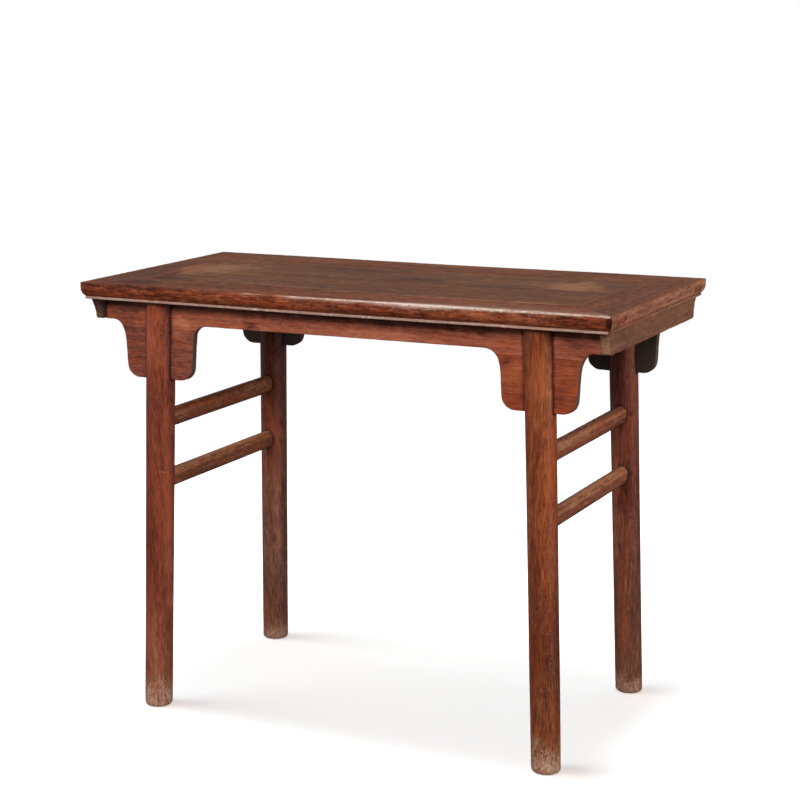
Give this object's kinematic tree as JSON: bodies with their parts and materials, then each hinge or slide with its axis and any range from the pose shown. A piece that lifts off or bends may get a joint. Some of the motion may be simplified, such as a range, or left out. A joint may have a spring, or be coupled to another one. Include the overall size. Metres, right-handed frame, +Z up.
{
  "type": "recessed-leg altar table",
  "caption": "Recessed-leg hardwood altar table with a framed floating-panel top, spandrelled aprons, splayed round legs and paired oval side stretchers.",
  "frame": {"origin": "on the floor, under the middle of the top", "axes": "+X along the top's length, +Y from the front towards the back, +Z up; the front faces -Y"},
  "size_m": [1.028, 0.506, 0.8],
  "materials": {
    "top_board_wood": "waxed hardwood, figured, worn satin",
    "frame_wood": "waxed hardwood, worn bright along the arrises",
    "apron_wood": "oiled red-orange hardwood, satin",
    "end_apron_wood": "dry brown hardwood, matt",
    "leg_wood": "polished red-brown hardwood, worn to bare wood at the foot",
    "stretcher_wood": "hand-rubbed hardwood, satin",
    "batten_wood": "unfinished secondary wood, matt",
    "peg_wood": "split bamboo or hardwood pin, flush"
  },
  "bodies": {
    "root": {"top_panel": "top_board_wood", "top_front_rail": "frame_wood", "top_back_rail": "frame_wood", "top_left_end_rail": "frame_wood", "top_right_end_rail": "frame_wood", "front_apron": "apron_wood", "back_apron": "apron_wood", "spandrel_front_left": "apron_wood", "spandrel_front_right": "apron_wood", "spandrel_back_left": "apron_wood", "spandrel_back_right": "apron_wood", "left_end_apron": "end_apron_wood", "right_end_apron": "end_apron_wood", "leg_front_left": "leg_wood", "leg_front_right": "leg_wood", "leg_back_left": "leg_wood", "leg_back_right": "leg_wood", "stretcher_left_upper": "stretcher_wood", "stretcher_left_lower": "stretcher_wood", "stretcher_right_upper": "stretcher_wood", "stretcher_right_lower": "stretcher_wood", "batten_left": "batten_wood", "batten_middle": "batten_wood", "batten_right": "batten_wood", "stretcher_pegs": "peg_wood"}
  },
  "joints": []
}
